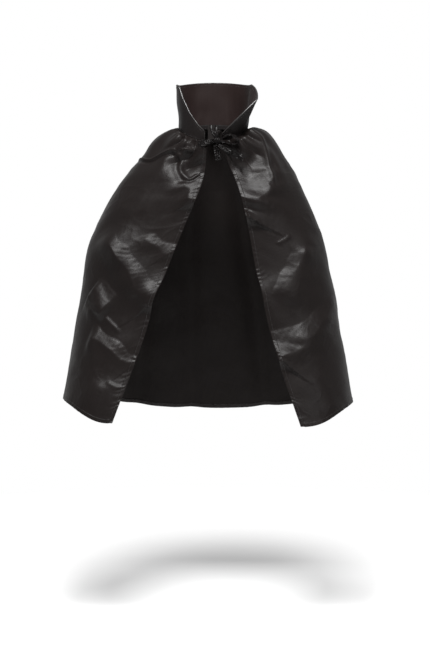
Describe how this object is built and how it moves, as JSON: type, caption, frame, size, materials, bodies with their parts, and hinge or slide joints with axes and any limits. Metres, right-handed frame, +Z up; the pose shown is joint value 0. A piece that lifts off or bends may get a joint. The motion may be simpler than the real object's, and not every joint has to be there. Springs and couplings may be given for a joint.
{
  "type": "costume cape",
  "caption": "Child's black satin costume cape, gathered into a stiffened stand-up collar, open down the front and tied at the throat with a ribbon bow.",
  "frame": {"origin": "middle of the neck opening, level with the neck seam halfway between front and back", "axes": "+Z up out of the neck, front of the cape towards -Y, +X towards the wearer's left"},
  "size_m": [0.6661, 0.4032, 0.7757],
  "materials": {
    "black_satin": "crisp black polyester satin, shiny outside and duller inside",
    "collar_satin": "black satin, outer layer of the collar",
    "collar_facing": "dull black satin with a faint brown tint, inner layer of the collar",
    "stiffener": "white non-woven stiffener, closed inside the collar",
    "ribbon": "black double-faced satin ribbon",
    "binding": "black seam tape inside the neck",
    "label": "blank black woven label"
  },
  "bodies": {
    "shoulders": {"left_shoulder_panel": "black_satin", "left_shoulder_hem": "black_satin", "right_shoulder_panel": "black_satin", "right_shoulder_hem": "black_satin", "collar_stand_outer": "collar_satin", "collar_stand_stiffener": "stiffener", "collar_stand_facing": "collar_facing", "neck_binding": "binding", "size_label": "label", "left_tie_end": "ribbon", "right_tie_end": "ribbon", "bow_knot": "ribbon"},
    "left_front": {"left_front_panel": "black_satin", "left_front_hem": "black_satin"},
    "right_front": {"right_front_panel": "black_satin", "right_front_hem": "black_satin"},
    "back": {"left_back_panel": "black_satin", "left_back_hem": "black_satin", "right_back_panel": "black_satin", "right_back_hem": "black_satin"},
    "left_wing": {"left_wing_outer": "collar_satin", "left_wing_stiffener": "stiffener", "left_wing_facing": "collar_facing"},
    "right_wing": {"right_wing_outer": "collar_satin", "right_wing_stiffener": "stiffener", "right_wing_facing": "collar_facing"},
    "left_loop": {"left_bow_loop": "ribbon"},
    "right_loop": {"right_bow_loop": "ribbon"},
    "left_tail": {"left_bow_tail": "ribbon"},
    "right_tail": {"right_bow_tail": "ribbon"}
  },
  "joints": [
    {"name": "left_front_swing", "type": "hinge", "parent": "shoulders", "child": "left_front", "pos_m": [0.2052, -0.1239, -0.369], "axis": [-0.4362, 0.0116, 0.8998], "range_deg": [0, 30]},
    {"name": "right_front_swing", "type": "hinge", "parent": "shoulders", "child": "right_front", "pos_m": [-0.2185, -0.1237, -0.364], "axis": [-0.5036, -0.0131, -0.8639], "range_deg": [0, 30]},
    {"name": "back_billow", "type": "hinge", "parent": "shoulders", "child": "back", "pos_m": [0, 0.072, 0.028], "axis": [1, 0, 0], "range_deg": [0, 10]},
    {"name": "left_collar_wing_flare", "type": "hinge", "parent": "shoulders", "child": "left_wing", "pos_m": [0.072, -0.0677, 0.0576], "axis": [0.5347, 0.3241, 0.7805], "range_deg": [-8, 18], "stiffness_Nm_per_rad": 0.05},
    {"name": "right_collar_wing_flare", "type": "hinge", "parent": "shoulders", "child": "right_wing", "pos_m": [-0.0602, -0.0615, 0.0608], "axis": [0.423, -0.3482, -0.8365], "range_deg": [-8, 24], "stiffness_Nm_per_rad": 0.05},
    {"name": "left_loop_swing", "type": "hinge", "parent": "shoulders", "child": "left_loop", "pos_m": [0.0145, -0.095, -0.01], "axis": [0, 1, 0], "range_deg": [-20, 8], "stiffness_Nm_per_rad": 0.004},
    {"name": "right_loop_swing", "type": "hinge", "parent": "shoulders", "child": "right_loop", "pos_m": [0.0035, -0.095, -0.01], "axis": [0, -1, 0], "range_deg": [-20, 8], "stiffness_Nm_per_rad": 0.004},
    {"name": "left_tail_swing", "type": "hinge", "parent": "shoulders", "child": "left_tail", "pos_m": [0.009, -0.099, -0.017], "axis": [-1, 0, 0], "range_deg": [0, 60]},
    {"name": "right_tail_swing", "type": "hinge", "parent": "shoulders", "child": "right_tail", "pos_m": [0.009, -0.099, -0.017], "axis": [-1, 0, 0], "range_deg": [0, 60]}
  ]
}
